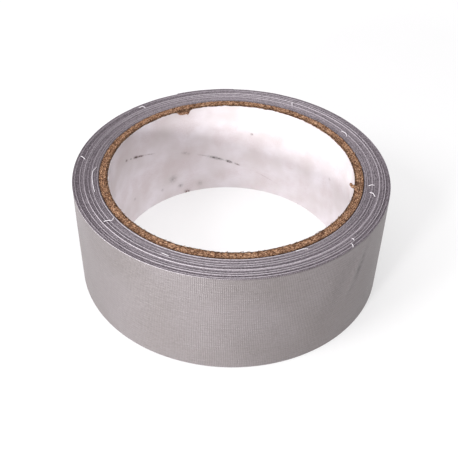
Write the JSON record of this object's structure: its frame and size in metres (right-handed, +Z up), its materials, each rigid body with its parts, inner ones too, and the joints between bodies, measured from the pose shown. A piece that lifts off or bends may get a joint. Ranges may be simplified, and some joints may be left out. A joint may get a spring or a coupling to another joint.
{
  "type": "duct tape roll",
  "caption": "Flat roll of silver cloth-backed repair tape wound on a chipboard core, lying on its side, with a free end that peels away.",
  "frame": {"origin": "middle of the core's hole, level with the face that the roll lies on", "axes": "+Z up along the roll's axis; +Y towards the loose end of the tape; the strip winds outwards anticlockwise seen from above"},
  "size_m": [0.0981, 0.0984, 0.036],
  "materials": {
    "liner_paper": "smooth white lining paper, lightly stained",
    "chipboard": "raw brown chipboard, fibrous cut edge",
    "adhesive": "grey natural-rubber adhesive, tacky",
    "scrim": "open woven cotton gauze",
    "backing": "silver-grey polythene film, satin, printed through by the weave"
  },
  "bodies": {
    "root": {"core_liner": "liner_paper", "core_ply_1": "chipboard", "core_ply_2": "chipboard", "core_ply_3": "chipboard", "core_ply_4": "chipboard", "core_ply_5": "chipboard", "tape_adhesive": "adhesive", "tape_scrim": "scrim", "tape_backing": "backing"},
    "free_end_1": {"end_adhesive_1": "adhesive", "end_scrim_1": "scrim", "end_backing_1": "backing"},
    "free_end_2": {"end_adhesive_2": "adhesive", "end_scrim_2": "scrim", "end_backing_2": "backing"},
    "free_end_3": {"end_adhesive_3": "adhesive", "end_scrim_3": "scrim", "end_backing_3": "backing"}
  },
  "joints": [
    {"name": "end_peel_1", "type": "hinge", "parent": "root", "child": "free_end_1", "pos_m": [0, 0.0494, 0.018], "axis": [0, 0, -1], "range_deg": [0, 35]},
    {"name": "end_peel_2", "type": "hinge", "parent": "free_end_1", "child": "free_end_2", "pos_m": [-0.00701, 0.0489, 0.018], "axis": [0, 0, -1], "range_deg": [0, 35]},
    {"name": "end_peel_3", "type": "hinge", "parent": "free_end_2", "child": "free_end_3", "pos_m": [-0.01388, 0.04741, 0.018], "axis": [0, 0, -1], "range_deg": [0, 35]}
  ],
  "couplings": [
    {"joint": "end_peel_2", "follows": "end_peel_1", "ratio": 1},
    {"joint": "end_peel_3", "follows": "end_peel_1", "ratio": 1}
  ]
}
